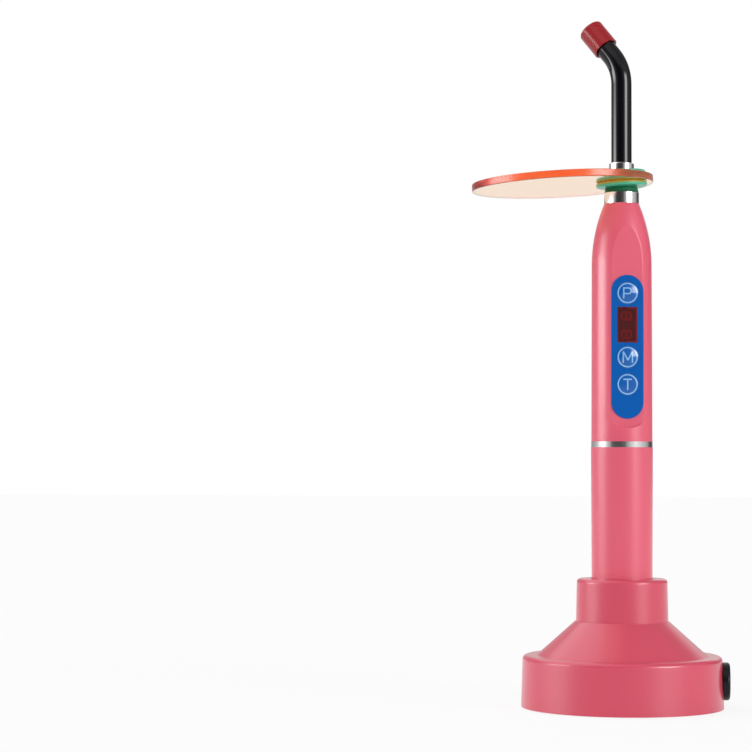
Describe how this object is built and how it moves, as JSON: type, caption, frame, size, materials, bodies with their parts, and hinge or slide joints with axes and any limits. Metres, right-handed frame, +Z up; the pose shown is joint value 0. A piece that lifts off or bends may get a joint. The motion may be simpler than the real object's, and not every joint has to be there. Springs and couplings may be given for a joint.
{
  "type": "dental curing light",
  "caption": "Cordless curing light in a round charging base: bent light guide with a turning shield and tip cap over a slim handpiece with buttons and a display.",
  "frame": {"origin": "on the handpiece's axis, at the surface that the charging base stands on", "axes": "+Z up along the handpiece, +X towards the power inlet, -Y towards the side that faces the viewer, 12.5 degrees from the control panel's normal"},
  "size_m": [0.1033, 0.0838, 0.2769],
  "materials": {
    "base_plastic": "satin moulded plastic, pink",
    "body_plastic": "satin moulded plastic, lighter pink",
    "black_plastic": "moulded black",
    "inlet_plastic": "moulded black, slightly glossy",
    "grey_plastic": "moulded grey",
    "foot_rubber": "matt",
    "seal_rubber": "matt",
    "grommet_rubber": "translucent green silicone",
    "steel": "zinc plated",
    "ballast_steel": "plain steel",
    "spring_steel": "bright wire",
    "chrome": "polished",
    "brass": "bright",
    "contact_gold": "gold plated",
    "board": "green solder mask",
    "lamp_board": "white mask on aluminium",
    "aluminium": "turned",
    "chip": "moulded package",
    "wire": "insulated",
    "cell_wrap": "shrink sleeve",
    "liner_card": "insulating tube",
    "panel_blue": "printed overlay, blue",
    "button_blue": "printed overlay, blue, domed",
    "window_red": "dark red, see-through",
    "segment_red": "unlit display segments",
    "display_black": "display body",
    "lamp_dome": "clear dome over a yellow chip",
    "clear_lens": "clear",
    "guide_glass": "fused glass fibre",
    "guide_black": "glossy black coating",
    "shield_orange": "clear orange, polished edge",
    "cap_red": "dark red, glossy"
  },
  "bodies": {
    "charging_base": {"base_shell": "base_plastic", "base_neck": "base_plastic", "base_cup": "base_plastic", "bottom_plate": "black_plastic", "base_screws": "steel", "rubber_feet": "foot_rubber", "ballast_weight": "ballast_steel", "charging_board": "board", "charging_board_screws": "steel", "charging_board_parts": "chip", "contact_carrier": "black_plastic", "charging_pin_barrels": "brass", "pin_spring_centre": "spring_steel", "pin_spring_outer": "spring_steel", "inlet_socket": "inlet_plastic", "inlet_pin": "contact_gold", "inlet_nut": "steel", "inlet_terminals": "brass", "inlet_wires": "wire"},
    "charging_pin_a": {"charging_pin_centre": "contact_gold"},
    "charging_pin_b": {"charging_pin_outer": "contact_gold"},
    "handpiece": {"rear_tube": "body_plastic", "tail_cap": "black_plastic", "tail_contacts": "contact_gold", "charge_strip": "brass", "battery_spring": "spring_steel", "battery_liner": "liner_card", "battery_cell": "cell_wrap", "cell_contact": "brass", "contact_holder": "black_plastic", "joint_ring": "chrome", "front_shell": "body_plastic", "control_panel": "panel_blue", "display_window": "window_red", "display_module": "display_black", "display_segments": "segment_red", "main_board": "board", "main_board_screws": "steel", "main_board_parts": "chip", "buzzer": "black_plastic", "tact_switches": "grey_plastic", "handpiece_wires": "wire", "heat_sink": "aluminium", "led_board": "lamp_board", "led_emitter": "lamp_dome", "collimator_lens": "clear_lens", "nose_collar": "chrome"},
    "power_button": {"button_power": "button_blue", "switch_actuator_power": "black_plastic"},
    "mode_button": {"button_mode": "button_blue", "switch_actuator_mode": "black_plastic"},
    "time_button": {"button_time": "button_blue", "switch_actuator_time": "black_plastic"},
    "guide_seal_ring": {"guide_seal": "seal_rubber"},
    "light_guide": {"guide_core": "guide_glass", "guide_coating": "guide_black", "guide_ferrule": "chrome"},
    "eye_shield": {"light_shield": "shield_orange", "shield_grommet": "grommet_rubber"},
    "guide_cap": {"tip_cap": "cap_red"}
  },
  "joints": [
    {"name": "handpiece_lift", "type": "slide", "parent": "charging_base", "child": "handpiece", "axis": [0, 0, 1], "range_m": [0, 0.032]},
    {"name": "guide_swivel", "type": "hinge", "parent": "handpiece", "child": "guide_seal_ring", "pos_m": [0, 0, 0.204], "axis": [0, 0, 1], "continuous": true},
    {"name": "guide_pull", "type": "slide", "parent": "guide_seal_ring", "child": "light_guide", "axis": [0, 0, 1], "range_m": [0, 0.011]},
    {"name": "shield_turn", "type": "hinge", "parent": "light_guide", "child": "eye_shield", "pos_m": [0, 0, 0.2119], "axis": [0, 0, 1], "continuous": true},
    {"name": "cap_pull", "type": "slide", "parent": "light_guide", "child": "guide_cap", "axis": [-0.5691, 0.3129, 0.7604], "range_m": [0, 0.0105]},
    {"name": "charging_pin_centre_press", "type": "slide", "parent": "charging_base", "child": "charging_pin_a", "axis": [0, 0, -1], "range_m": [0, 0.0008], "stiffness_N_per_m": 300, "deforming": ["pin_spring_centre"]},
    {"name": "charging_pin_outer_press", "type": "slide", "parent": "charging_base", "child": "charging_pin_b", "axis": [0, 0, -1], "range_m": [0, 0.0008], "stiffness_N_per_m": 300, "deforming": ["pin_spring_outer"]},
    {"name": "power_press", "type": "slide", "parent": "handpiece", "child": "power_button", "axis": [-0.2164, 0.9763, 0], "range_m": [0, 0.00035], "stiffness_N_per_m": 1200},
    {"name": "mode_press", "type": "slide", "parent": "handpiece", "child": "mode_button", "axis": [-0.2164, 0.9763, 0], "range_m": [0, 0.00035], "stiffness_N_per_m": 1200},
    {"name": "time_press", "type": "slide", "parent": "handpiece", "child": "time_button", "axis": [-0.2164, 0.9763, 0], "range_m": [0, 0.00035], "stiffness_N_per_m": 1200}
  ]
}
